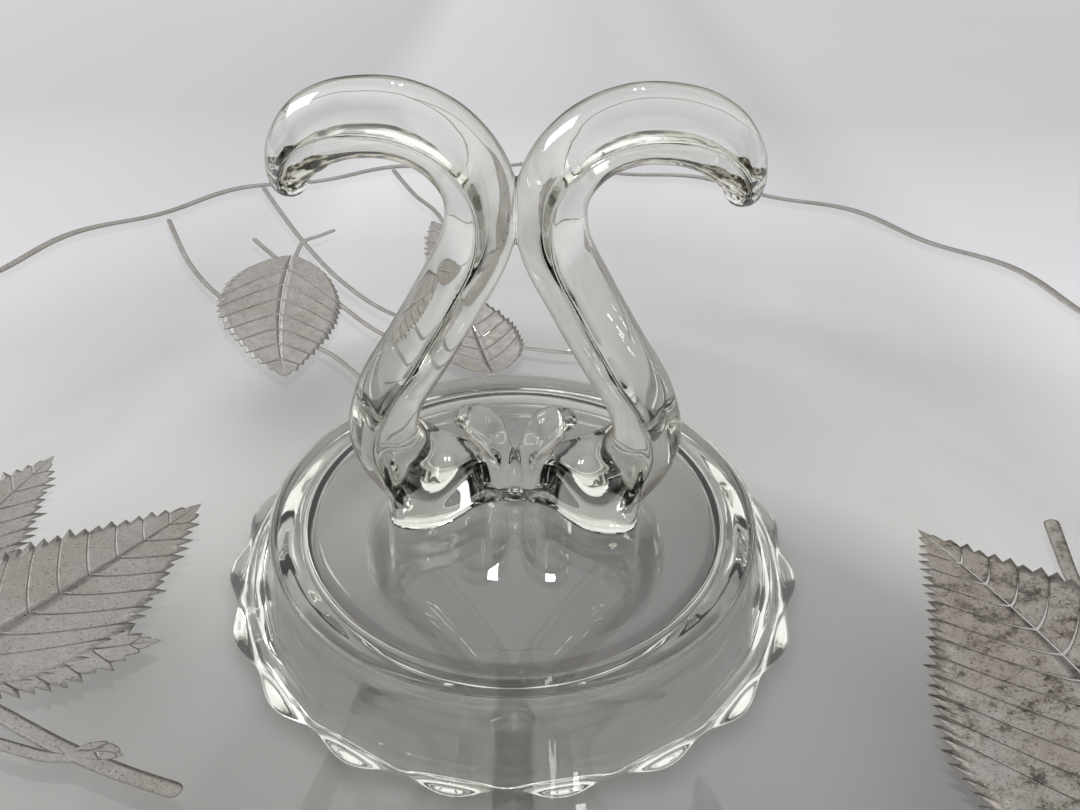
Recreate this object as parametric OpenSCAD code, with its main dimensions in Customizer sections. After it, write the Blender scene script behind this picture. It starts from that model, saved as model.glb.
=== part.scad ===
// Centre-handled glass server: a wavy-rimmed plate on a hollow scalloped foot, with a
// double scroll handle and leaf sprays of silver overlay.
// Origin: centre of the foot's resting ring.  +Z is up, the handle stands in the XZ plane.

/* [Plate] */
// Diameter over the middle of the rim's waves
plate_d = 310; // [290:1:330]
// Height of the plate's flat floor above the table
floor_h = 22.4; // [21:0.2:26]
// Rise of the rim above the floor
rim_rise = 25; // [18:1:32]
// Thickness of the glass at the floor
floor_t = 4.4; // [4:0.2:5]
// Thickness of the glass at the rim
rim_t = 3.2; // [2.6:0.2:3.6]
// Number of waves around the rim
waves = 18; // [12:2:24]
// How far each wave swings the rim in and out
wave_r = 1.5; // [0:0.1:2.5]
// How far each wave swings the rim up and down
wave_z = 0.6; // [0:0.1:1.2]

/* [Foot] */
// Outer diameter of the resting ring
ring_d = 120; // [112:1:124]
// Diameter over the scallops
scallop_d = 130; // [126:1:136]
// Number of scallops
scallops = 20; // [16:1:24]
// Thickness of the foot's wall
foot_t = 4.5; // [3.5:0.5:6]

/* [Handle] */
// Height of the handle's top above the table
handle_h = 113; // [105:1:120]
// Depth of each scroll from front to back
scroll_depth = 24; // [20:1:28]
// Thickness of each scroll where it is thickest
scroll_t = 15.2; // [13:0.2:15.6]

/* [Silver] */
// Thickness of the silver overlay as modelled
silver_t = 0.3; // [0.2:0.05:0.5]
// Width of the silver line along the rim
band_w = 3; // [2:0.5:4]
// Width of a thin stem
stem_w = 1.6; // [1:0.1:2.4]

/* [Hidden] */

rim_r = plate_d / 2;         // radius of the rim's top edge before the waves
flat_r = 60;                 // the floor is flat inside this radius
dish_power = 1.7;            // how sharply the plate turns up towards its rim
wave_from = 118;             // radius where the waves start to show
wave_phase = 8;              // angle of one wave's crest
sectors = 6 * waves;         // steps around the plate
under_h = floor_h - floor_t; // height of the plate's flat underside
scallop_phase = 9.8;         // angle of one scallop's crest
silver_gap = 0.05;           // keeps the overlay just clear of the glass facets
glass = [0.86, 0.89, 0.88, 0.45];
silver = [0.66, 0.64, 0.61];

// ---- the plate's surface ------------------------------------------------------------

function clamp01(v) = max(0, min(1, v));
function dish(r) = floor_h + rim_rise * pow(clamp01((r - flat_r) / (rim_r - flat_r)), dish_power);
function slope(r) = atan(dish(r + 0.5) - dish(r - 0.5));
function glass_t(r) = floor_t + (rim_t - floor_t) * clamp01((r - flat_r) / (rim_r - flat_r));

// Moves a point of the round dish to its place on the wavy one
function waved(r, z, a) =
    let (fade = pow(clamp01((r - wave_from) / (rim_r - wave_from)), 2),
         c = cos(waves * (a - wave_phase)),
         rr = r + wave_r * fade * c)
    [rr * cos(a), rr * sin(a), z + wave_z * fade * c];

// A plan point [x, y] dropped onto the plate's upper face, lifted by h
function on_plate(p, h) =
    let (r = norm(p), a = atan2(p[1], p[0]))
    waved(r, dish(min(r, rim_r)) + h, a);

// ---- helpers ------------------------------------------------------------------------

// Point at t (0 to 1) of segment i of a Catmull-Rom curve through the list p
function knot(p, i) = p[max(0, min(len(p) - 1, i))];
function bend(p, i, t) =
    let (a = knot(p, i - 1), b = knot(p, i), c = knot(p, i + 1), d = knot(p, i + 2))
    0.5 * (2 * b + (c - a) * t + (2 * a - 5 * b + 4 * c - d) * t * t
           + (3 * b - a - 3 * c + d) * t * t * t);
function curve(p, steps) = concat(
    [for (i = [0 : len(p) - 2], k = [0 : steps - 1]) bend(p, i, k / steps)], [p[len(p) - 1]]);
function unit(v) = v / norm(v);
function heading(c, i) = unit(knot(c, i + 1) - knot(c, i - 1));

// Side faces of a tube of rings with n points each; each quad is two triangles
function quads(i, j, n) = [for (k = [0 : n - 1]) let (m = (k + 1) % n)
    each [[i * n + k, j * n + k, i * n + m], [i * n + m, j * n + k, j * n + m]]];

// Solid through a list of rings, capped at both ends
module skin(rings) {
    n = len(rings[0]);
    last = len(rings) - 1;
    polyhedron(
        points = [for (ring = rings, p = ring) p],
        faces = concat(
            [for (i = [0 : last - 1]) each quads(i, i + 1, n)],
            [[for (k = [0 : n - 1]) k]],
            [[for (k = [n - 1 : -1 : 0]) last * n + k]]));
}

// Solid whose cross-section rings run all the way round and meet
module loop_skin(rings) {
    n = len(rings[0]);
    count = len(rings);
    polyhedron(
        points = [for (ring = rings, p = ring) p],
        faces = [for (i = [0 : count - 1]) each quads(i, (i + 1) % count, n)]);
}

// One row of plan points, from one edge of a sheet to the other, as a closed ring
function sheet_ring(row) = concat(
    [for (p = row) on_plate(p, silver_gap + silver_t)],
    [for (k = [len(row) - 1 : -1 : 0]) on_plate(row[k], silver_gap)]);
module sheet(rows) skin([for (row = rows) sheet_ring(row)]);

// ---- silver overlay -----------------------------------------------------------------

// Stem through plan points, of width w
module stem(points, w = stem_w) {
    c = curve(points, 4);
    sheet([for (i = [0 : len(c) - 1]) let (h = heading(c, i), side = [-h[1], h[0]] * w / 2)
        [c[i] + side, c[i] - side]]);
}

// Ovate leaf with a saw-tooth edge: base and tip in plan, width, teeth a side, and how
// far along the leaf is widest; bow is how far its midrib swings out of the straight
module leaf(base, tip, width, teeth, widest = 0.4, bow = 0) {
    axis = tip - base;
    across = unit([-axis[1], axis[0]]);
    rows = 2 * teeth;
    sheet([for (i = [0 : rows])
        let (t = 0.01 + 0.98 * i / rows,
             swell = sin(180 * pow(t, ln(0.5) / ln(widest))),
             bite = i % 2 == 0 ? 1 : 0.86,
             half = 0.2 + width / 2 * pow(swell, 0.9) * bite,
             mid = base + axis * t + across * bow * sin(180 * t))
        [mid + across * half, mid, mid - across * half]]);
}

// Leaf of several pointed lobes around a centre: each lobe is [direction, length]
module lobed_leaf(centre, lobes, notch) {
    step = 4;
    function lobe_r(a) = max([for (l = lobes)
        let (off = abs((a - l[0] + 540) % 360 - 180))
        notch + (l[1] - notch) * pow(max(0, 1 - off / 26), 1.25)]);
    function edge(a) = lobe_r(a) * (a % 8 == 0 ? 1 : 0.9);
    ring = [for (a = [0 : step : 359]) [cos(a), sin(a), edge(a)]];
    function at(p, s) = centre + s * p[2] * [p[0], p[1]];
    loop_skin([for (p = ring) sheet_ring([at(p, 0.03), at(p, 0.5), at(p, 1)])]);
}

module back_leaf_large() color(silver) leaf([-74, 99], [-64, 45], 33, 12, 0.42, -3);
module back_leaf_middle() color(silver) leaf([-8, 52], [-21, 94], 24, 10, 0.4);
module back_leaf_small() color(silver) leaf([-13, 92], [-33, 125], 20, 9, 0.42);
module back_stem_left() color(silver)
    stem([[-112, 101], [-101, 85], [-89, 74], [-72, 65], [-54, 57], [-38, 40]]);
module back_stem_middle() color(silver)
    stem([[-88, 125], [-72, 106], [-56, 90], [-38, 78], [-6, 67], [17, 63]]);
module back_stem_right() color(silver) stem([[-48, 145], [-40, 136], [-31, 128], [-22, 110]]);
module back_stem_low() color(silver) stem([[-86, 102], [-78, 96], [-58, 82], [-40, 68], [-9, 53]]);
module back_twig() color(silver) stem([[-64, 114], [-68, 110], [-72, 106], [-73, 99]], 1.3);
module left_leaf() color(silver)
    lobed_leaf([-96, -48], [[57, 49], [9, 33.5], [98, 49.5], [142, 42]], 17);
module left_leaf_low() color(silver) leaf([-80, -94], [-38, -124], 32, 10, 0.42);
module left_branch() color(silver)
    stem([[-128, -52], [-108, -58], [-92, -62], [-79.8, -66.6], [-68.3, -71.3], [-57.8, -74.7],
          [-49.1, -77]], 3);
module left_bud() color(silver) leaf([-66.5, -72], [-58.6, -71.6], 3.6, 3, 0.5);
module right_leaf() color(silver) leaf([97, -98], [86.4, -12.7], 53, 16, 0.34, -6);
module right_leaf_low() color(silver) leaf([87, -103], [34, -126], 30, 11, 0.42);
module right_stem() color(silver) stem([[111, -17], [109.4, -24], [107.8, -31], [106.6, -38]], 2.6);
module right_twig() color(silver)
    stem([[129, -80], [119, -93], [107, -100], [97, -100.5], [87, -103]], 2.2);

module rim_band() color(silver)
    loop_skin([for (i = [0 : sectors - 1]) let (a = 360 * i / sectors)
        sheet_ring([(rim_r - band_w) * [cos(a), sin(a)], (rim_r - 0.2) * [cos(a), sin(a)]])]);

// ---- glass --------------------------------------------------------------------------

// Half section of the plate as [radius, height], from the middle out along the top, round
// the lip and back along the underside
lip_a = slope(rim_r - 1);
lip_c = [rim_r + rim_t / 2 * sin(lip_a), dish(rim_r) - rim_t / 2 * cos(lip_a)];
plate_top = [for (r = [20, flat_r, 74, 88, 102, wave_from, 130, 140, 148]) [r, dish(r)]];
plate_lip = [for (k = [0 : 4]) let (a = 90 + lip_a - 45 * k) lip_c + rim_t / 2 * [cos(a), sin(a)]];
plate_under = [for (r = [147, 139, 129, wave_from, 103, 89, 75, flat_r + 1, 20])
    [r + 0.4, dish(r) - glass_t(r) / cos(slope(r))]];
plate_section = concat(plate_top, plate_lip, plate_under);

module plate() color(glass) {
    n = len(plate_section);
    polyhedron(
        points = concat(
            [for (i = [0 : sectors - 1], p = plate_section) waved(p[0], p[1], 360 * i / sectors)],
            [[0, 0, floor_h], [0, 0, under_h]]),
        faces = concat(
            [for (i = [0 : sectors - 1], k = [0 : n - 2]) let (j = (i + 1) % sectors)
                each [[i * n + k, i * n + k + 1, j * n + k],
                      [j * n + k, i * n + k + 1, j * n + k + 1]]],
            [for (i = [0 : sectors - 1]) let (j = (i + 1) % sectors)
                each [[sectors * n, i * n, j * n],
                      [sectors * n + 1, j * n + n - 1, i * n + n - 1]]]));
}

// The foot: a flared skirt under the plate with a scalloped collar above its resting ring
neck_r = 50;         // middle of the neck; the hollow starts foot_t inside it
ring_r = ring_d / 2;
scallop_r = scallop_d / 2;
collar_z = 3;        // the collar's underside
collar_t = 5;        // and its thickness
neck_flare = 3;      // the neck widens by this where it meets the plate
waist_drop = 3;      // the neck is thinnest this far below the plate
skirt_drop = 7;      // below this the skirt spreads to the collar
fillet_drop = 4;     // the hollow's upper corner is cut off over this height
bevel = 1.5;         // the collar's upper and lower corners

module foot() color(glass) {
    rotate_extrude($fn = 120) polygon([
        [neck_r - foot_t, under_h], [neck_r + neck_flare, under_h],
        [neck_r + 1, under_h - waist_drop], [neck_r + 2, under_h - skirt_drop],
        [ring_r, collar_z + collar_t], [ring_r, 0], [ring_r - foot_t, 0],
        [ring_r - foot_t - 1, collar_z + 2], [neck_r - 2, under_h - skirt_drop - 1],
        [neck_r - foot_t, under_h - fillet_drop]]);
    intersection() {
        linear_extrude(height = collar_z + collar_t) difference() {
            polygon([for (a = [0 : 3 : 359])
                (scallop_r + bevel * (cos(scallops * (a - scallop_phase)) - 1))
                * [cos(a), sin(a)]]);
            circle(r = ring_r - 1, $fn = 120);
        }
        rotate_extrude($fn = 120) polygon([
            [ring_r - 2, collar_z], [scallop_r - bevel, collar_z],
            [scallop_r + 0.5, collar_z + bevel], [scallop_r + 0.5, collar_z + collar_t - bevel],
            [scallop_r - bevel, collar_z + collar_t], [ring_r - 2, collar_z + collar_t]]);
    }
}

// The handle's base: a low waisted pad, with a web between the scrolls' curled lower ends
pad_h = 1.6;
pad_x = 18;          // middle of each end of the pad
pad_reach = 12;      // the ends' radius along X
pad_half = 12;       // the ends' half width
waist = [6, 5];      // corner of the pad's narrow middle
web_half = 8;        // the web reaches this far towards each scroll
web_depth = 8;       // and this far to the front and back
web_top = 36;
saddle_r = 14;       // radius of the hollow in the web's front and back

module handle_base() color(glass) {
    translate([0, 0, floor_h]) linear_extrude(height = pad_h) polygon(
        [for (s = [1, -1]) each concat(
            [for (a = [-60 : 15 : 60]) s * [pad_x + pad_reach * cos(a), pad_half * sin(a)]],
            [s * waist])]);
    difference() {
        translate([-web_half, -web_depth, floor_h + pad_h])
            cube([2 * web_half, 2 * web_depth, web_top - floor_h - pad_h]);
        for (s = [-1, 1]) translate([0, s * (waist[1] + saddle_r), 0])
            cylinder(r = saddle_r, h = web_top + 1, $fn = 60);
        scroll();
        mirror([1, 0, 0]) scroll();
    }
}

// Centre line of the right scroll: [x, z, half thickness, half depth], as shares of the
// full thickness and depth, from the curled lower end up to the tip
scroll_line = [
    [8.2, 43.5, 0.28, 0.30], [9.4, 38, 0.38, 0.42], [13, 33.6, 0.45, 0.48],
    [18.5, 31.8, 0.5, 0.5], [24.5, 34.2, 0.5, 0.5], [27.9, 41, 0.5, 0.5],
    [25.3, 50, 0.48, 0.5], [19.6, 60.5, 0.47, 0.5], [12.6, 73, 0.46, 0.5],
    [7.2, 84, 0.45, 0.5], [6.9, 94, 0.45, 0.5], [12, 101.7, 0.45, 0.5],
    [20, 105.6, 0.45, 0.5], [29, 105.8, 0.44, 0.48], [36.3, 102.8, 0.38, 0.42],
    [40.2, 98, 0.29, 0.31], [41.2, 94.4, 0.18, 0.18]];
line_top = 113;      // the handle's height that the line above is drawn for

// Corners of the scroll's six-sided section, softened, as [across, front to back]
scroll_section = [
    [1, -0.34], [1, 0.34], [0.88, 0.56], [0.16, 0.97], [-0.16, 0.97], [-0.88, 0.56],
    [-1, 0.34], [-1, -0.34], [-0.88, -0.56], [-0.16, -0.97], [0.16, -0.97], [0.88, -0.56]];

module scroll() {
    stretch = (handle_h - floor_h) / (line_top - floor_h);
    raw = curve(scroll_line, 4);
    c = [for (p = raw) [p[0], floor_h + (p[1] - floor_h) * stretch]];
    last = len(c) - 1;
    // each end is rounded off by shrinking two extra rings beyond it
    function ring(i, grow, push) =
        let (h = heading(c, i), side = [h[1], -h[0]],
             mid = c[i] + h * push,
             t = raw[i][2] * scroll_t * grow, d = raw[i][3] * scroll_depth * grow)
        [for (s = scroll_section)
            let (q = mid + side * t * s[0]) [q[0], d * s[1] * 1.03, q[1]]];
    intersection() {
        skin(concat(
            [ring(0, 0.35, -3.4), ring(0, 0.75, -2.3)],
            [for (i = [0 : last]) ring(i, 1, 0)],
            [ring(last, 0.75, 1.7), ring(last, 0.35, 2.4)]));
        translate([0, -scroll_depth, floor_h + pad_h])
            cube([60, 2 * scroll_depth, handle_h]);
    }
}

module left_scroll() color(glass) mirror([1, 0, 0]) scroll();
module right_scroll() color(glass) scroll();

plate();
foot();
handle_base();
left_scroll();
right_scroll();
rim_band();
back_leaf_large();
back_leaf_middle();
back_leaf_small();
back_stem_left();
back_stem_middle();
back_stem_right();
back_stem_low();
back_twig();
left_leaf();
left_leaf_low();
left_branch();
left_bud();
right_leaf();
right_leaf_low();
right_stem();
right_twig();
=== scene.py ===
import math

import bpy
import numpy as np
from mathutils import Matrix, Vector


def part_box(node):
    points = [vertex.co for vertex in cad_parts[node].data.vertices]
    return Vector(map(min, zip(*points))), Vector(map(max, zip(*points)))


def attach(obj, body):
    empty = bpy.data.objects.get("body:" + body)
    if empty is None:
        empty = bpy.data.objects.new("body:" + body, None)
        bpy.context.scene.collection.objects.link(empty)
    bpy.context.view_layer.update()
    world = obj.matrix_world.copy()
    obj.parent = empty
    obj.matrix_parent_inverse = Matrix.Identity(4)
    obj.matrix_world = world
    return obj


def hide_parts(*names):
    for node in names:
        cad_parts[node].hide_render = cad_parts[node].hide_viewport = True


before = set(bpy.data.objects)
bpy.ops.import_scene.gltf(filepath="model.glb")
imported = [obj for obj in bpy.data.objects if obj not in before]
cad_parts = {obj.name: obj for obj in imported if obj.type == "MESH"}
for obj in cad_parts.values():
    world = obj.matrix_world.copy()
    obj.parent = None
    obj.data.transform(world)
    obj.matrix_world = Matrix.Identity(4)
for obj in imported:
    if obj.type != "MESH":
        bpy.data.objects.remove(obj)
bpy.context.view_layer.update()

MM = 0.001

# ---- sizes, in millimetres as in the CAD, above the table ---------------------------

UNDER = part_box("foot")[1].z / MM    # the plate's flat underside stands on the foot
FLOOR_T = 4.4                       # glass under the dish's floor
FLOOR = UNDER + FLOOR_T             # the dish's flat floor
WAVE_R, WAVE_Z = 1.5, 0.6           # the rim's waves, outwards and upwards
RIM_T = 3.2                         # glass at the rim
RIM_R = 155.0                       # the rim's top edge, before the waves
RIM_RISE = 25.0                     # the rim's top edge, above the floor
FLAT_R = 60.0                       # the floor is flat inside this
DISH_POWER = 1.7                    # 1 would make the dish a cone
WAVES, WAVE_PHASE = 18, math.radians(8)
WAVE_FROM = 118.0                   # the dish is round inside this
SCALLOPS, SCALLOP_PHASE = 20, math.radians(9.8)
SCALLOP_FROM, SCALLOP_WIDE = 58.0, 7.0
SCALLOP_DEEP = 1.9
FLANGE_TOP = 10.0                   # the scallops are below this
LIP_IN = 0.35                       # keeps the lip and its silver inside the CAD's box
CAP = FLOOR - 0.25                  # the level of the handle's underside, inside the plate


# ---- the plate's surface ------------------------------------------------------------

def clamp01(v):
    return np.clip(v, 0.0, 1.0)


def dish(r):
    """Height of the plate's upper face, before the waves."""
    return FLOOR + RIM_RISE * clamp01((r - FLAT_R) / (RIM_R - FLAT_R)) ** DISH_POWER


def dish_slope(r):
    """Slope of that face as an angle."""
    return np.arctan(dish(r + 0.5) - dish(r - 0.5))


def glass_t(r):
    """Thickness of the plate, square to its face."""
    return FLOOR_T + (RIM_T - FLOOR_T) * clamp01((r - FLAT_R) / (RIM_R - FLAT_R))


def waved(r, z, a):
    """Points of a round plate moved to their places on the wavy one."""
    fade = clamp01((r - WAVE_FROM) / (RIM_R - WAVE_FROM)) ** 2
    c = np.cos(WAVES * (a - WAVE_PHASE))
    rr = r + WAVE_R * fade * c
    return np.stack([rr * np.cos(a), rr * np.sin(a), z + WAVE_Z * fade * c], -1)


def on_plate(xy, lift):
    """Plan points laid on the plate's upper face, lifted by lift."""
    xy = np.asarray(xy, float)
    r = np.hypot(xy[..., 0], xy[..., 1])
    return waved(r, dish(np.minimum(r, RIM_R)) + lift, np.arctan2(xy[..., 1], xy[..., 0]))


# ---- mesh helpers -------------------------------------------------------------------

def piece(name, points, faces, material, slot, nodes, normals=None, flat_at=None):
    """A smooth-shaded mesh from points in mm, riding on the root in place of CAD nodes.
    Faces that lie at the height flat_at are flat, so they don't bend their neighbours."""
    mesh = bpy.data.meshes.new(name)
    points = np.asarray(points, float).reshape(-1, 3)
    mesh.from_pydata((points * MM).tolist(), [], faces)
    smooth = np.ones(len(faces), bool)
    if flat_at is not None:
        level = np.abs(points[:, 2] - flat_at) < 0.02
        smooth = ~np.array([level[list(f)].all() for f in faces])
    mesh.polygons.foreach_set("use_smooth", smooth)
    mesh.materials.append(material)
    mesh.update()
    if normals is not None:
        corner = np.array([normals[v] for f in faces for v in f])
        corner[np.repeat(~smooth, [len(f) for f in faces])] = (0, 0, -1)
        mesh.normals_split_custom_set(corner.tolist())
    obj = bpy.data.objects.new(name, mesh)
    bpy.context.scene.collection.objects.link(obj)
    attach(obj, "root")
    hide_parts(*nodes)
    return obj


def turned(section, sectors, place):
    """Points and faces of a closed section turned about Z; place(r, z, a) sets each ring."""
    section = np.asarray(section, float)
    n = len(section)
    angles = np.arange(sectors) * 2 * math.pi / sectors
    points = np.concatenate([place(section[:, 0], section[:, 1], a) for a in angles])
    faces = []
    for i in range(sectors):
        j = (i + 1) % sectors
        for k in range(n):
            m = (k + 1) % n
            faces.append((i * n + k, i * n + m, j * n + m, j * n + k))
    return points, faces


def arc(centre, radius, start, end, steps):
    """Points of an arc, angles in degrees."""
    a = np.radians(np.linspace(start, end, steps))
    return [(centre[0] + radius * math.cos(t), centre[1] + radius * math.sin(t)) for t in a]


# ---- glass mesh from a distance field -----------------------------------------------

def surface_net(field, lo, cell):
    """Quads around the zero of a sampled field, negative inside, one point in each cell."""
    inside = field < 0
    corner = [(i, j, k) for i in (0, 1) for j in (0, 1) for k in (0, 1)]
    nx, ny, nz = (s - 1 for s in field.shape)

    def at(a, c):
        return a[c[0]:c[0] + nx, c[1]:c[1] + ny, c[2]:c[2] + nz]

    count = sum(at(inside, c).astype(np.int8) for c in corner)
    mixed = (count > 0) & (count < 8)
    cells = np.argwhere(mixed)
    index = np.full(mixed.shape, -1, np.int64)
    index[mixed] = np.arange(len(cells))
    total = np.zeros((len(cells), 3))
    hits = np.zeros(len(cells))
    value = {c: at(field, c)[mixed] for c in corner}
    for a in corner:
        for axis in range(3):
            if a[axis]:
                continue
            b = tuple(v + (i == axis) for i, v in enumerate(a))
            cross = (value[a] < 0) != (value[b] < 0)
            t = value[a][cross] / (value[a][cross] - value[b][cross])
            spot = np.tile(np.array(a, float), (cross.sum(), 1))
            spot[:, axis] += t
            total[cross] += spot
            hits[cross] += 1
    points = lo + cell * (cells + total / hits[:, None])
    faces = []
    for axis in range(3):
        u, v = (axis + 1) % 3, (axis + 2) % 3
        low = [slice(None)] * 3
        high = [slice(None)] * 3
        low[axis], high[axis] = slice(0, -1), slice(1, None)
        start, stop = inside[tuple(low)], inside[tuple(high)]
        edges = np.argwhere(start != stop)
        edges = edges[(edges[:, u] > 0) & (edges[:, v] > 0)
                      & (edges[:, u] < field.shape[u] - 1) & (edges[:, v] < field.shape[v] - 1)]
        leaving = start[tuple(edges.T)]
        du, dv = np.eye(3, dtype=int)[u], np.eye(3, dtype=int)[v]
        ring = [index[tuple((edges - s).T)] for s in (du + dv, dv, 0 * du, du)]
        quad = np.stack(ring, 1)
        quad[~leaving] = quad[~leaving][:, ::-1]
        faces += quad.tolist()
    return points, faces


FLATTEST = 0.05                     # least squared slope that a step is divided by
LONGEST = 0.5                       # longest step, in slopes


def settle(points, field_at, cap, rounds=3, reach=0.12):
    """Moves points onto the field's zero along its slope, which is their normal.
    Points of the cap are put on its level, and move only inside it."""
    points = points.copy()
    points[cap, 2] = CAP
    for step in range(rounds + 1):
        field = field_at(points)
        value = field(*points.T)
        slope = np.stack([(field(*(points + reach * axis).T) - field(*(points - reach * axis).T))
                          / (2 * reach) for axis in np.eye(3)], 1)
        size = np.maximum((slope ** 2).sum(1), FLATTEST)
        if step < rounds:
            value[cap] = np.maximum(value[cap], 0)
            move = np.clip(value / size, -LONGEST, LONGEST)[:, None] * slope
            move[cap, 2] = 0
            points -= move
    return points, slope / np.sqrt(size)[:, None]


def smooth_min(a, b, k):
    """The smaller of two fields, blended over k where they cross."""
    h = np.maximum(k - np.abs(a - b), 0) / k
    return np.minimum(a, b) - h * h * k / 4


def smooth_max(a, b, k):
    """The larger of two fields, blended the same way."""
    return -smooth_min(-a, -b, k)


# ---- curves -------------------------------------------------------------------------

def curve(points, steps):
    """Catmull-Rom curve through the rows of points."""
    p = np.asarray(points, float)
    p = np.vstack([p[:1], p, p[-1:]])
    out = []
    for i in range(1, len(p) - 2):
        a, b, c, d = p[i - 1:i + 3]
        for t in np.arange(steps) / steps:
            out.append(0.5 * (2 * b + (c - a) * t + (2 * a - 5 * b + 4 * c - d) * t * t
                              + (3 * b - a - 3 * c + d) * t ** 3))
    out.append(p[-2])
    return np.array(out)


def even(line, step):
    """The same line with its points step apart."""
    far = np.concatenate([[0], np.cumsum(np.hypot(*np.diff(line[:, :2], axis=0).T))])
    at = np.linspace(0, far[-1], int(far[-1] / step) + 1)
    return np.stack([np.interp(at, far, column) for column in line.T], 1)


# ---- materials ----------------------------------------------------------------------

class Nodes:
    """Short calls for building the nodes of a material or of the world."""

    def __init__(self, owner, space="Object"):
        owner.use_nodes = True
        self.owner = owner
        self.tree = owner.node_tree
        self.space = self.add("ShaderNodeTexCoord").outputs[space]

    def add(self, kind, **values):
        n = self.tree.nodes.new(kind)
        for key, value in values.items():
            if hasattr(n, key):
                setattr(n, key, value)
            else:
                n.inputs[key.replace("_", " ")].default_value = value
        return n

    @property
    def shader(self):
        return self.tree.nodes["Principled BSDF"]

    def link(self, source, target):
        self.tree.links.new(source, target)

    def noise(self, scale, detail=3.0, rough=0.5):
        n = self.add("ShaderNodeTexNoise", Scale=scale, Detail=detail, Roughness=rough)
        self.link(self.space, n.inputs["Vector"])
        return n.outputs["Fac"]

    def split(self):
        """X, Y and Z of the place, or of the direction in the world."""
        n = self.add("ShaderNodeSeparateXYZ")
        self.link(self.space, n.inputs[0])
        return n.outputs

    def spread(self, source, low, high):
        """A value as a fraction of the way from low to high."""
        n = self.add("ShaderNodeMapRange", From_Min=low, From_Max=high)
        self.link(source, n.inputs["Value"])
        return n.outputs[0]

    def ramp(self, source, stops):
        """A run of colours or greys along a value from 0 to 1."""
        n = self.add("ShaderNodeValToRGB")
        while len(n.color_ramp.elements) < len(stops):
            n.color_ramp.elements.new(0.5)
        for e, (place, colour) in zip(n.color_ramp.elements, stops):
            e.position = place
            e.color = (*colour, 1) if isinstance(colour, tuple) else (colour,) * 3 + (1,)
        self.link(source, n.inputs["Fac"])
        return n.outputs["Color"]

    def mix(self, factor, a, b, blend="MIX"):
        n = self.add("ShaderNodeMix", data_type="RGBA", blend_type=blend)
        for socket, value in ((n.inputs[0], factor), (n.inputs[6], a), (n.inputs[7], b)):
            if isinstance(value, bpy.types.NodeSocket):
                self.link(value, socket)
            elif isinstance(value, tuple):
                socket.default_value = (*value, 1)
            else:
                socket.default_value = value
        return n.outputs[2]

    def distance(self, centre, reach):
        """Distance from a point in metres, as a fraction of reach."""
        gap = self.add("ShaderNodeVectorMath", operation="DISTANCE")
        self.link(self.space, gap.inputs[0])
        gap.inputs[1].default_value = centre
        return self.spread(gap.outputs["Value"], 0.0, reach)

    def bump(self, height, strength, distance):
        n = self.add("ShaderNodeBump", Strength=strength, Distance=distance)
        self.link(height, n.inputs["Height"])
        return n.outputs["Normal"]


def glass_material(name, ripple):
    """Clear pressed glass, faintly olive in depth, with the mould's waviness on its face, and painted
    shade: its edges seen at a grazing angle are painted dark.
    """
    m = Nodes(bpy.data.materials.new(name))
    s = m.shader
    s.inputs["Transmission Weight"].default_value = 1.0
    s.inputs["IOR"].default_value = 1.52
    tone = m.ramp(m.noise(30), [(0.3, (0.97, 0.975, 0.96)), (0.7, 1.0)])
    # painted shade: the base colour darkens to near black towards edges seen at a grazing angle,
    # painting dark outlines onto the glass
    rim = m.add("ShaderNodeLayerWeight", Blend=0.5).outputs["Facing"]
    edge = m.ramp(rim, [(0.62, 1.0), (0.74, (0.52, 0.47, 0.40)),
                        (0.86, (0.12, 0.09, 0.07))])
    m.link(m.mix(1.0, tone, edge, "MULTIPLY"), s.inputs["Base Color"])
    m.link(m.ramp(m.noise(900, 6, 0.7), [(0.55, 0.0), (0.9, 0.03)]), s.inputs["Roughness"])
    m.link(m.bump(m.noise(45, 2), ripple, 0.0008), s.inputs["Normal"])
    depth = m.add("ShaderNodeVolumeAbsorption", Color=(0.62, 0.66, 0.45, 1), Density=9.0)
    m.link(depth.outputs[0], m.tree.nodes["Material Output"].inputs["Volume"])
    return m.owner


TARNISHED = (0.12, -0.07, 0.035)    # the right spray's stem, in metres


def silver_material(name, tarnish):
    """Silver deposited on glass: satin, warm grey, with tarnish specks and patches."""
    m = Nodes(bpy.data.materials.new(name))
    s = m.shader
    s.inputs["Metallic"].default_value = 1.0
    grain = m.ramp(m.noise(2500, 4, 0.7), [(0.3, (0.22, 0.212, 0.203)), (0.7, (0.325, 0.314, 0.302))])
    cloud = m.ramp(m.noise(60, 4, 0.6), [(0.4, (0.90, 0.87, 0.83)), (0.62, 1.0)])
    specks = m.ramp(m.noise(2200, 2, 0.5), [(0.32, (0.40, 0.41, 0.40)), (0.37, 1.0)])
    colour = m.mix(1.0, m.mix(1.0, grain, cloud, "MULTIPLY"), specks, "MULTIPLY")
    patch = m.ramp(m.noise(190, 8, 0.85), [(0.40, (0.15, 0.14, 0.13)), (0.45, (0.64, 0.59, 0.52)),
                                           (0.51, (1.0, 0.97, 0.93))])
    where = m.ramp(m.distance(TARNISHED, 0.08), [(0.3, tarnish), (0.85, 0.6 * tarnish)])
    m.link(m.mix(where, colour, m.mix(1.0, colour, patch, "MULTIPLY")), s.inputs["Base Color"])
    m.link(m.ramp(m.noise(500, 4), [(0.3, 0.38), (0.7, 0.55)]), s.inputs["Roughness"])
    m.link(m.bump(m.noise(1800, 4, 0.7), 0.3, 0.00008), s.inputs["Normal"])
    return m.owner


# ---- glass pieces -------------------------------------------------------------------

NECK_R, HOLLOW_R = 53.6, 44.0       # where the foot's outside and its hollow meet the plate


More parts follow.
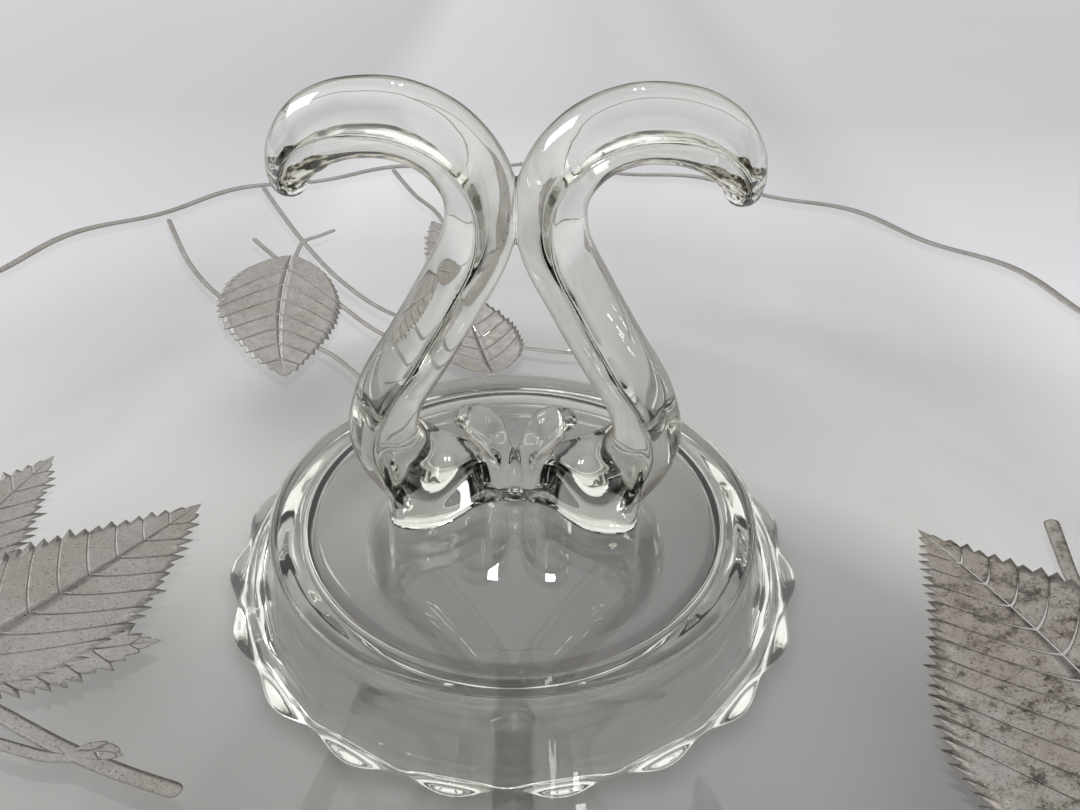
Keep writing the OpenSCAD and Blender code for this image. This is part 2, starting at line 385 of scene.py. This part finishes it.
def plate_section():
    """Half section of the plate and its foot, from the middle of the top round the lip,
    back underneath, down the foot's outside and up its hollow to the middle."""
    top = [(r, dish(r)) for r in np.concatenate([np.linspace(0.02, FLAT_R, 12),
                                                 np.linspace(FLAT_R + 3, RIM_R - LIP_IN, 36)])]
    edge = RIM_R - LIP_IN
    tilt = math.degrees(dish_slope(edge - 1))
    middle = (edge + RIM_T / 2 * math.sin(math.radians(tilt)),
              dish(edge) - RIM_T / 2 * math.cos(math.radians(tilt)))
    lip = arc(middle, RIM_T / 2, 90 + tilt - 15, tilt - 90, 11)
    under = [(r + 0.4 * (r > FLAT_R), dish(r) - glass_t(r) / math.cos(dish_slope(r)))
             for r in np.linspace(RIM_R - 3, FLAT_R + 3, 34)]
    bottom = [(r, UNDER) for r in (FLAT_R + 1, FLAT_R, 57.0, 55.4, 54.9, 54.6)]
    outside = [(NECK_R + 0.8, UNDER), (NECK_R + 0.3, UNDER - 0.15), (NECK_R, UNDER - 0.6),
               (NECK_R - 0.2, UNDER - 1.9), (53.0, 13.9),
               (53.1, 12.0), (54.2, 10.2), (56.9, 8.4), (60.0, 6.9), (63.0, 5.8), (64.9, 4.7),
               (65.2, 3.8), (64.2, 2.9), (62.4, 2.2), (61.0, 1.4), (60.2, 0.5), (59.7, 0.05)]
    inside = [(59.2, 0.05), (58.4, 0.6), (57.0, 2.2), (54.8, 4.6), (52.4, 7.2), (50.2, 10.0),
              (48.8, 12.8), (47.8, 15.2), (46.6, 16.8), (HOLLOW_R + 1, 17.7), (HOLLOW_R, UNDER)]
    ceiling = [(r, UNDER) for r in (43, 41, 38, 32, 24, 16, 8, 0.02)]
    return np.vstack([top, lip, under, bottom, curve(outside, 4), curve(inside, 4), ceiling])


def glass_place(r, z, a):
    """Waves at the rim and scallops on the foot's flange."""
    reach = clamp01((r - SCALLOP_FROM) / SCALLOP_WIDE) ** 1.5 * (z < FLANGE_TOP)
    c = 0.5 - 0.5 * math.cos(SCALLOPS * (a - SCALLOP_PHASE))
    return waved(r - SCALLOP_DEEP * reach * c, z, a)


# Middle line of the right scroll: [x, z, half thickness, half depth]
SCROLL_LINE = np.array([
    [23.6, 28.8, 7.4, 12.3], [26.6, 33.6, 7.5, 12.2], [28.2, 38.5, 7.5, 12.1],
    [28.0, 43.5, 7.4, 12.0], [25.3, 51, 7.3, 12.0], [19.6, 60.5, 7.2, 12.0],
    [12.6, 73, 7.0, 12.0], [7.2, 84, 6.9, 12.0], [6.9, 94, 6.9, 12.0],
    [12, 101.6, 6.9, 12.0], [20, 105.6, 6.9, 12.0], [28.8, 105.9, 6.8, 11.7],
    [35.0, 103.9, 6.5, 10.9], [39.0, 100.2, 5.6, 9.4], [40.9, 96.8, 4.4, 7.6],
    [41.2, 95.2, 3.7, 6.6]])

# Middle line of the right scroll's inner curl, rising from the base to its beak
VOLUTE_LINE = np.array([
    [3.0, 25.0, 3.0, 3.2], [3.3, 30.0, 3.0, 3.8], [4.2, 35.0, 3.4, 5.0], [6.4, 39.8, 4.3, 6.4],
    [8.8, 42.2, 4.0, 6.2], [10.6, 42.9, 2.8, 4.6]])

# The base at each distance from the middle: its lobe's ridge line, crest and half width
BASE_X = np.array([0, 3, 6, 9, 12, 15, 18, 21, 24, 27, 30.0])
BASE_RIDGE = np.array([27, 27, 26.8, 26.8, 26.4, 25.9, 25.6, 26.6, 29.3, 34.5, 40.0])
BASE_CREST = np.array([33.0, 33.6, 34.2, 34.4, 34.2, 34.2, 34.8, 36.3, 39, 43.5, 47.0])
BASE_WIDE = np.array([2.6, 2.7, 3.4, 5.2, 8.6, 11.2, 12.4, 12.7, 12.5, 12.2, 12.0])
BASE_END = 27.0                     # the lobes end here, under the scrolls
BASE_DROP = 13.0                    # from a lobe's ridge line down to its lowest point
BASE_POWER = 3.4                    # 2 would make a lobe's section an ellipse

# A scroll's section: two arched faces, which a facet on each side brings to a ridge
ARCH_FALL = 0.93                    # how far a face falls away towards its ridge
FACET_SLANT = 0.634                 # slant of the facet beside the ridge
ROUND_RIDGE_ACROSS, ROUND_RIDGE_DEEP = 0.006, 0.004


def table(xs, ys, x):
    """Smooth curve through the points of a table, read at x."""
    slope = np.gradient(ys, xs)
    x = np.clip(x, xs[0], xs[-1])
    i = np.clip(np.searchsorted(xs, x) - 1, 0, len(xs) - 2)
    w = xs[i + 1] - xs[i]
    t = (x - xs[i]) / w
    return ((2 * t ** 3 - 3 * t * t + 1) * ys[i] + (t ** 3 - 2 * t * t + t) * w * slope[i]
            + (3 * t * t - 2 * t ** 3) * ys[i + 1] + (t ** 3 - t * t) * w * slope[i + 1])


def lens(n, y, a, b):
    """Distance to a bar's section: arched faces that meet in ridges in front and behind."""
    across = np.sqrt((n / a) ** 2 + ROUND_RIDGE_ACROSS)
    deep = np.sqrt((y / b) ** 2 + ROUND_RIDGE_DEEP)
    arch = (across + ARCH_FALL * deep ** 2 - 1) * a
    facet = (FACET_SLANT * across + deep - 1) / np.sqrt((FACET_SLANT / a) ** 2 + 1 / b ** 2)
    return smooth_max(arch, facet, 1.5)


class Arm:
    """A bar along a line as a distance field, placed by the line's nearest point."""

    def __init__(self, line):
        line = even(curve(line, 30), 0.5)
        way = np.gradient(line[:, :2], axis=0)
        span = np.hypot(*way.T)
        way /= span[:, None]
        turn = np.gradient(way, axis=0) / span[:, None]
        bend = turn[:, 0] * way[:, 1] - turn[:, 1] * way[:, 0]
        self.far = np.concatenate([[0], np.cumsum(np.hypot(*np.diff(line[:, :2], axis=0).T))])
        self.rows = [line[:, 0], line[:, 1], way[:, 0], way[:, 1], bend, line[:, 2], line[:, 3]]

    def nearest(self, spots):
        """How far along the line its nearest point to each [x, z] is."""
        out = np.empty(len(spots))
        line = np.stack(self.rows[:2], 1)[::2]
        for k in range(0, len(spots), 20000):
            gap = ((spots[k:k + 20000, None] - line[None]) ** 2).sum(2)
            out[k:k + 20000] = self.far[::2][gap.argmin(1)]
        return out

    def place(self, spots, far, steps=3):
        """Offset across the line, distance past its ends, half thickness and half depth."""
        for step in range(steps + 1):
            x, z, way_x, way_z, bend, half, deep = (np.interp(far, self.far, row)
                                                    for row in self.rows)
            along = (spots[:, 0] - x) * way_x + (spots[:, 1] - z) * way_z
            side = (spots[:, 0] - x) * way_z - (spots[:, 1] - z) * way_x
            if step < steps:
                far = far + along / np.clip(1 - bend * side, 0.35, 3)
                far = np.clip(far, 0, self.far[-1])
        past = np.where(far <= 0, np.maximum(-along, 0), 0)
        past += np.where(far >= self.far[-1], np.maximum(along, 0), 0)
        return np.stack([side, past, half, deep])

    @staticmethod
    def field(y, placed):
        """The bar's distance field at depth y, from what place returns."""
        n, past, a, b = placed
        return lens(np.sqrt(n * n + past * past), y, a, b)


def base_field(x, y, z):
    """The fluted base: lobes under the scrolls, waisted in the middle."""
    ax = np.abs(x)
    ridge, crest, wide = (table(BASE_X, v, ax) for v in (BASE_RIDGE, BASE_CREST, BASE_WIDE))
    up = z - ridge
    n = np.where(up > 0, up / (crest - ridge), up / BASE_DROP)
    far = np.abs(n) ** BASE_POWER + np.abs(y / wide) ** BASE_POWER + 1e-4
    body = (far ** (1 / BASE_POWER) - 1) * np.minimum(wide, 9.0)
    return smooth_max(body, ax - BASE_END, 2.0)


def handle():
    """Points, faces and normals of the whole handle, as one piece of glass."""
    cell = 0.55
    arms = [(Arm(line), sign) for line in (SCROLL_LINE, VOLUTE_LINE) for sign in (1, -1)]

    def merged(placed, x, y, z):
        right, left, curl, back_curl = (arm.field(y, p) for (arm, _), p in zip(arms, placed))
        scrolls = smooth_min(right, left, 1.2)
        curls = smooth_min(curl, back_curl, 2.5)
        body = smooth_min(smooth_min(base_field(x, y, z), curls, 1.5), scrolls, 1.5)
        return smooth_min(body, z - (FLOOR - 0.3), 2.4)

    lo = np.array([-49.0, -15.5, FLOOR - 2.0])
    hi = np.array([49.0, 15.5, 116.0])
    gx, gy, gz = (np.arange(lo[i], hi[i] + cell, cell) for i in range(3))
    placed = []
    for arm, sign in arms:
        spots = np.stack(np.meshgrid(sign * gx, gz, indexing="ij"), -1).reshape(-1, 2)
        placed.append(arm.place(spots, arm.nearest(spots)).reshape(4, len(gx), 1, len(gz)))
    field = merged(placed, gx[:, None, None], gy[None, :, None], gz[None, None, :])
    points, faces = surface_net(np.maximum(field, CAP - gz), lo, cell)

    def near(points):
        index = [arm.nearest(points[:, ::2] * (sign, 1)) for arm, sign in arms]

        def exact(x, y, z):
            sides = [np.stack([sign * x, z], 1) for _, sign in arms]
            return merged([arm.place(spots, i) for (arm, _), spots, i
                           in zip(arms, sides, index)], x, y, z)
        return exact

    cap = points[:, 2] < CAP + 0.3 * cell
    points, normals = settle(points, near, cap)
    return points, faces, normals


# ---- silver pieces ------------------------------------------------------------------

LIFT, SINK = 0.06, -0.03            # the silver's top and underside, from the plate's face


def slab(plan, crown=0.0, lift=LIFT):
    """A thin closed sheet on the plate over a grid of plan points; crown thins its edges."""
    rows, cols = plan.shape[:2]
    edge = crown * np.abs(np.linspace(-1, 1, cols))[None, :] ** 2
    top = on_plate(plan, lift - edge)
    points = np.concatenate([top.reshape(-1, 3), on_plate(plan, SINK).reshape(-1, 3)])
    n = rows * cols

    def at(i, j, low=0):
        return i * cols + j + low * n

    faces = []
    for i in range(rows - 1):
        for j in range(cols - 1):
            faces.append((at(i, j), at(i + 1, j), at(i + 1, j + 1), at(i, j + 1)))
            faces.append((at(i, j, 1), at(i, j + 1, 1), at(i + 1, j + 1, 1), at(i + 1, j, 1)))
    ring = ([(i, 0) for i in range(rows)] + [(rows - 1, j) for j in range(1, cols)]
            + [(i, cols - 1) for i in range(rows - 2, -1, -1)]
            + [(0, j) for j in range(cols - 2, 0, -1)])
    for k, a in enumerate(ring):
        b = ring[(k + 1) % len(ring)]
        faces.append((at(*b), at(*a), at(*a, 1), at(*b, 1)))
    return points, faces


def joined(parts):
    """Several meshes as one, each given as its points and faces."""
    points, faces, start = [], [], 0
    for p, f in parts:
        points.append(p)
        faces += [tuple(v + start for v in face) for face in f]
        start += len(p)
    return np.concatenate(points), faces


def ribbon(points, wide, end=None):
    """A stem of silver: a strip with round ends along the plan points."""
    line = even(curve(points, 20), 0.6)
    way = np.gradient(line, axis=0)
    way /= np.hypot(*way.T)[:, None]
    side = np.stack([-way[:, 1], way[:, 0]], 1)
    half = np.linspace(wide, end or wide, len(line)) / 2
    turn = np.linspace(0, math.pi / 2, 6)
    rows = [line[0] - way[0] * half[0] * math.cos(t) for t in turn[:-1]]
    size = [half[0] * math.sin(t) + 0.02 for t in turn[:-1]]
    rows += list(line)
    size += list(half)
    rows += [line[-1] + way[-1] * half[-1] * math.cos(t) for t in turn[:-1][::-1]]
    size += [half[-1] * math.sin(t) + 0.02 for t in turn[:-1][::-1]]
    sides = np.vstack([side[:1]] * 5 + [side] + [side[-1:]] * 5)
    spread = np.linspace(-1, 1, 5)
    plan = (np.array(rows)[:, None] + np.array(size)[:, None, None] * spread[None, :, None]
            * sides[:, None])
    return slab(plan[:, ::-1], 0.02)


VEIN_END = 0.86                     # the midrib's last side vein, as a share of its length
BASE_SWELL = 0.8                    # below 1 gives a leaf a full, round base


def blade(base, tip, wide, widest=0.42, veins=6, teeth=2, tooth=1.1, slit=0.38, bow=0.0,
          reach=0.3, lift=LIFT, taper=0.92, open_to=0.85):
    """A leaf cut into strips by bare-glass veins, with saw teeth that lean to its tip.
    It is widest at the share widest of its length, its veins are slit wide, close at the
    share open_to of the way to the margin and run forward by reach, and it bends by bow."""
    base, tip = np.array(base, float), np.array(tip, float)
    along = tip - base
    size = math.hypot(*along)
    along /= size
    out = np.array([-along[1], along[0]])
    power = math.log(0.5) / math.log(widest)
    middle = np.linspace(0, VEIN_END, veins + 1)
    margin = np.concatenate([[0], middle[1:] + reach * (1 - middle[1:])])
    middle, margin = np.append(middle, 1.0), np.append(margin, 1.0)

    def strip(k, s):
        """The strip after vein k on side s, as rows of plan points."""
        cuts = max(teeth, round(1.4 * teeth * veins * (margin[k + 1] - margin[k])))
        q = np.linspace(0, 1, 9)[None, :]
        u = np.linspace(0, 1, cuts * 7 + 1)[:, None]
        gap = slit * 0.5 * clamp01(1 - q / open_to) / (size * (middle[k + 1] - middle[k]))
        low = gap if k else 0 * gap
        high = gap if k < veins else 0 * gap
        v = low + (1 - low - high) * u
        tm = middle[k] + (middle[k + 1] - middle[k]) * v
        te = margin[k] + (margin[k + 1] - margin[k]) * v
        t = tm + (te - tm) * q ** 1.25
        swell = np.sin(math.pi * np.clip(te, 0, 1) ** power)
        half = wide / 2 * swell ** np.where(te > widest, taper, BASE_SWELL)
        rib = 0.5 * slit * (1 - 0.7 * tm) * (tm < 0.97)
        which = np.floor(u * cuts) + 30 * k + 7 * s
        uneven = 0.6 + 0.8 * np.modf(np.abs(40 * np.sin(which * 12.9)))[0]
        saw = (tooth * uneven * ((u * cuts) % 1.0) * (u < 0.999) * q ** 8
               * np.minimum(half / 3, 1))
        across = rib + (half - rib).clip(0.02) * q + saw
        t = t + saw * 0.5 / size
        bend = bow * size * (t - t * t) * 4
        return base + along * (size * t)[..., None] + out * (s * across + bend)[..., None]

    strips = [(strip(k, s), s) for s in (-1, 1) for k in range(veins + 1)]
    return joined([slab(plan if s > 0 else plan[:, ::-1], lift=lift) for plan, s in strips])


def lobed(lobes, lift=0.02):
    """A lobed leaf: blades side by side, each a hair above the one before."""
    return joined([blade(base, tip, wide, 0.38, veins, 2, 2.0, 0.14, bow,
                         lift=LIFT + lift * k, taper=1.15)
                   for k, (base, tip, wide, veins, bow) in enumerate(lobes)])


def rim_line():
    """The silver line, on top of the lip."""
    edge = RIM_R - LIP_IN
    tilt = dish_slope(edge - 1)
    middle = (edge + RIM_T / 2 * math.sin(tilt), dish(edge) - RIM_T / 2 * math.cos(tilt))

    def skin(lift):
        start = [(r, dish(r) + lift) for r in (edge - 0.9, edge - 0.3)]
        return start + arc(middle, RIM_T / 2 + lift, 80 + math.degrees(tilt), 40, 5)

    return turned(skin(0.07) + skin(-0.06)[::-1], 288, waved)


def silver_pieces(material, dark):
    """Every silver piece, in place of the CAD node with its name."""
    for name, shape, finish in (
            ("back_leaf_large", blade((-74, 99), (-64, 45), 33, veins=7, bow=-0.05), material),
            ("back_leaf_middle", blade((-8, 52), (-21, 94), 24, 0.4, 6), material),
            ("back_leaf_small", blade((-13, 92), (-33, 125), 20, 0.42, 5), material),
            ("left_leaf_low", blade((-80, -94), (-38, -124), 32), material),
            ("right_leaf", blade((97, -98), (86.4, -12.7), 53, 0.34, 11, 2, 1.8, 0.65, -0.07,
                                 reach=0.36, taper=1.25, open_to=0.72), dark),
            ("right_leaf_low", blade((87, -103), (34, -126), 30), dark),
            ("left_leaf", lobed([((-104, -48), (-129, -22), 16, 5, 0.0),
                                 ((-107, -50), (-103.7, 1), 18, 7, 0.02),
                                 ((-97, -57), (-62.8, -46.3), 17, 5, -0.02),
                                 ((-94, -62), (-69.1, -7.1), 30, 8, 0.02)]), material),
            ("left_bud", blade((-66.5, -72), (-58.6, -71.6), 3.6, 0.5, 2, 1, 0.4, 0.2, 0.08),
             material),
            ("back_stem_left", ribbon([(-112, 101), (-101, 85), (-89, 74), (-72, 65),
                                       (-54, 57), (-38, 40)], 1.6), material),
            ("back_stem_middle", ribbon([(-88, 125), (-72, 106), (-56, 90), (-38, 78),
                                         (-6, 67), (17, 63)], 1.6), material),
            ("back_stem_right", ribbon([(-48, 145), (-40, 136), (-31, 128), (-22, 110)], 1.6),
             material),
            ("back_stem_low", ribbon([(-86, 102), (-78, 96), (-58, 82), (-40, 68), (-9, 53)],
                                     1.6), material),
            ("back_twig", ribbon([(-64, 114), (-68, 110), (-72, 106), (-73, 99)], 1.3), material),
            ("left_branch", joined([
                ribbon([(-128, -52), (-108, -58), (-92, -62), (-79.8, -66.6), (-68.3, -71.3),
                        (-57.8, -74.7), (-49.1, -77)], 2.6, 3.0),
                ribbon([(-112, -72), (-94, -71), (-84, -71.2), (-76.7, -72.2), (-70, -73.3),
                        (-66, -73)], 2.0, 2.2)]), material),
            ("right_stem", ribbon([(111, -17), (109.4, -24), (107.8, -31), (106.6, -38)], 2.8, 2.4),
             dark),
            ("right_twig", ribbon([(129, -80), (119, -93), (107, -100), (97, -100.5),
                                   (87, -103)], 2.2), dark),
            ("rim_band", rim_line(), material)):
        piece(name + "_silver", *shape, finish, "silver", [name])


# ---- stage, lights and camera -------------------------------------------------------

CAMERA_AT = (0.0055, -0.1532, 0.1486)      # metres
CAMERA_TURN = (33.67, -0.10, 1.28)         # degrees: down, to the right, rolled
LENS, SENSOR = 28.88, 36


def camera():
    """Stands in front of the handle, looking down, about as far off as the plate's rim."""
    pitch, yaw, roll = (math.radians(v) for v in CAMERA_TURN)
    ahead = Vector((math.sin(yaw) * math.cos(pitch), math.cos(yaw) * math.cos(pitch),
                    -math.sin(pitch)))
    right = Vector((math.cos(yaw), -math.sin(yaw), 0))
    up = right.cross(ahead)
    turned_right = math.cos(roll) * right + math.sin(roll) * up
    turned_up = math.cos(roll) * up - math.sin(roll) * right
    data = bpy.data.cameras.new("camera")
    data.sensor_width = SENSOR
    data.lens = LENS
    data.clip_start = 0.005
    obj = bpy.data.objects.new("camera", data)
    obj.matrix_world = Matrix((turned_right, turned_up, -ahead)).transposed().to_4x4()
    obj.location = CAMERA_AT
    bpy.context.scene.collection.objects.link(obj)
    bpy.context.scene.camera = obj


def paper_with_painted_light(m):
    """Colour of the paper, with light and shade painted into it: a painted fall-off of the light
    along and across the table, and painted soft shadows of the glass under the foot, round the rim
    and in front of the foot.
    """
    x, y, _ = m.split()
    # painted fall-off of the light along the table: brightest just in front of the middle, darker
    # towards the front and the back
    along = m.ramp(m.spread(y, -0.16, 0.40), [
        (0.0, (0.56, 0.55, 0.56)), (0.12, (0.70, 0.69, 0.70)), (0.20, (0.98, 0.965, 0.98)),
        (0.30, (0.96, 0.95, 0.965)), (0.45, (0.78, 0.775, 0.80)), (0.62, (0.67, 0.67, 0.695)),
        (0.74, (0.63, 0.63, 0.65)), (1.0, (0.53, 0.53, 0.545))])
    # painted shade across the table: darker bands at both sides, the right side darker
    across = m.ramp(m.spread(x, -0.30, 0.30), [
        (0.10, 0.87), (0.30, 0.80), (0.36, 1.0), (0.49, 0.95), (0.57, 0.89), (0.65, 0.91),
        (0.74, 0.82), (0.82, 0.93)])
    # painted shadows of the glass: darker under the foot and in a ring under the plate's rim
    painted_shadow_under_foot_and_rim = m.ramp(m.distance((0, 0, 0), 0.30), [
        (0.0, (0.75, 0.745, 0.73)), (0.17, (0.62, 0.605, 0.595)), (0.21, 1.0), (0.40, 1.0),
        (0.50, 0.80), (0.64, 0.78), (0.90, 1.0)])
    # painted soft shadow in front of the foot, a little to its right
    front = m.ramp(m.distance((0.03, -0.07, 0), 0.15), [(0.55, (0.61, 0.60, 0.60)),
                                                        (0.72, 1.0)])
    for layer in (across, painted_shadow_under_foot_and_rim, front):
        along = m.mix(1.0, along, layer, "MULTIPLY")
    worn = m.mix(1.0, along, (0.94, 0.94, 0.94), "MULTIPLY")
    return m.mix(m.noise(4, 2), along, worn)


def floor():
    """White paper on a table."""
    mesh = bpy.data.meshes.new("table")
    s = 3.0
    mesh.from_pydata([(-s, -s, 0), (s, -s, 0), (s, s, 0), (-s, s, 0)], [], [(0, 1, 2, 3)])
    obj = bpy.data.objects.new("table", mesh)
    bpy.context.scene.collection.objects.link(obj)
    m = Nodes(bpy.data.materials.new("table_paper"))
    # the paper's colour holds painted light: painted fall-off and painted shadows of the glass
    m.link(paper_with_painted_light(m), m.shader.inputs["Base Color"])
    m.shader.inputs["Roughness"].default_value = 0.7
    mesh.materials.append(m.owner)


def lamp(name, place, target, size, power):
    """A flat lamp that faces its target, all in metres and watts."""
    data = bpy.data.lights.new(name, "AREA")
    data.shape = "RECTANGLE"
    data.size, data.size_y = size
    data.energy = power
    obj = bpy.data.objects.new(name, data)
    obj.location = place
    obj.rotation_euler = (Vector(target) - Vector(place)).to_track_quat("-Z", "Y").to_euler()
    bpy.context.scene.collection.objects.link(obj)


def room():
    """What the glass sees: a bright ceiling over a darker, cluttered horizon, darkest
    towards the viewer.  The camera itself sees a plain pale wall."""
    world = bpy.data.worlds.new("room")
    bpy.context.scene.world = world
    w = Nodes(world, "Generated")
    _, depth, height = w.split()
    sky = w.ramp(height, [(0.0, (0.42, 0.41, 0.37)), (0.12, (0.55, 0.545, 0.51)),
                          (0.32, 0.85), (0.6, 1.0)])
    low = w.ramp(height, [(0.0, 1.0), (0.30, 0.9), (0.50, 0.0)])
    clutter = w.ramp(w.noise(4.5, 4, 0.6), [(0.46, (0.022, 0.018, 0.01)),
                                            (0.49, (0.36, 0.33, 0.25)), (0.55, 1.0)])
    viewer = w.ramp(depth, [(0.0, (0.27, 0.255, 0.19)), (0.35, 1.0)])
    seen = w.mix(low, w.mix(low, sky, clutter, "MULTIPLY"), viewer, "MULTIPLY")
    straight = w.add("ShaderNodeLightPath").outputs["Is Camera Ray"]
    background = w.tree.nodes["Background"]
    w.link(w.mix(straight, seen, (0.62, 0.63, 0.64)), background.inputs["Color"])
    background.inputs["Strength"].default_value = 1.12


TUBE_X = {"left": -0.147, "right": 0.047}       # ceiling tubes, in metres
CEILING = 2.0


def lights():
    """The room, its ceiling tubes and a window on the left."""
    room()
    for row, y, size in (("", 2.22, 0.2), ("_near", 1.99, 0.1)):
        for side, x in TUBE_X.items():
            lamp("tube_" + side + row, (x, y, CEILING), (x, y, 0), (0.03, size), 14 * size)
    lamp("window", (-1.6, 0.9, 1.3), (0, 0, 0.03), (0.7, 0.9), 14)


# ---- build --------------------------------------------------------------------------

camera()
floor()
lights()
bpy.context.scene.view_settings.view_transform = "Standard"
cycles = bpy.context.scene.cycles
cycles.max_bounces = cycles.transmission_bounces = 24

clear = glass_material("pressed_glass", 0.05)
silver = silver_material("silver_overlay", 0.12)

piece("plate_and_foot_glass", *turned(plate_section(), 320, glass_place), clear, "glass",
      ["plate", "foot"])
points, faces, normals = handle()
piece("handle_glass", points, faces, clear, "glass",
      ["handle_base", "left_scroll", "right_scroll"], normals, flat_at=CAP)

silver_pieces(silver, silver_material("silver_tarnished", 1.0))
